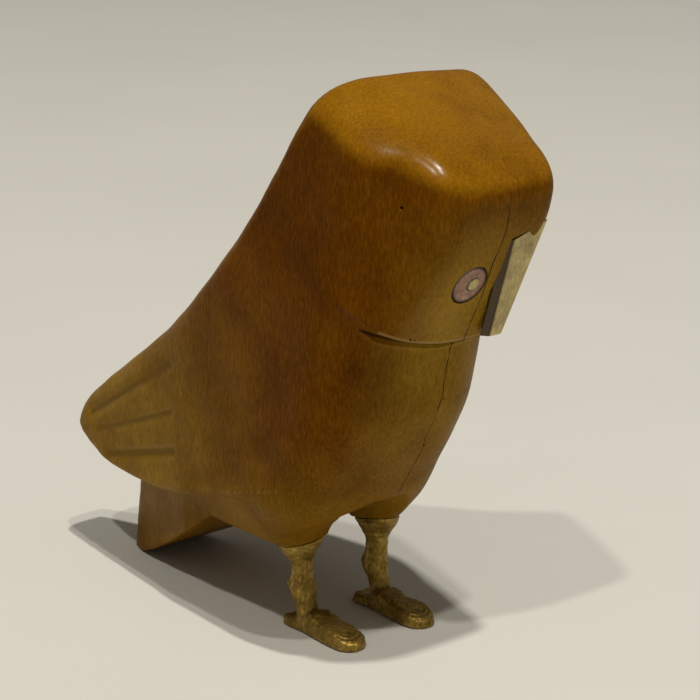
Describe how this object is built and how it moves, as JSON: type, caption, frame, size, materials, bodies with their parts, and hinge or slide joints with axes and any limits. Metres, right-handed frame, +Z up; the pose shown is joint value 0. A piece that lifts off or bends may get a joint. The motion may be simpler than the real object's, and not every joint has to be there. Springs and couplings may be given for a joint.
{
  "type": "wooden owl figurine",
  "caption": "Carved wooden owl figurine with its head turned aside, a bone beak, inlaid shell eyes and cast brass legs, standing on its feet and tail.",
  "frame": {"origin": "on the floor, at the middle of the bounding box of the whole owl", "axes": "+Z up, the body and the feet point to -Y and the tail to +Y, and the owl's own left is +X"},
  "size_m": [0.0639, 0.1473, 0.1455],
  "materials": {
    "wood": "satin varnish over golden brown wood, hand worn",
    "brass": "rough casting, dull and darkened in its hollows",
    "bone": "polished bone, yellowed, with fine brown streaks",
    "shell": "polished shell, mottled pink and brown"
  },
  "bodies": {
    "root": {"body": "wood", "leg_left": "brass", "leg_right": "brass", "beak": "bone", "eye_right": "shell", "eye_left": "shell", "pupil_right": "bone", "pupil_left": "bone"}
  },
  "joints": []
}
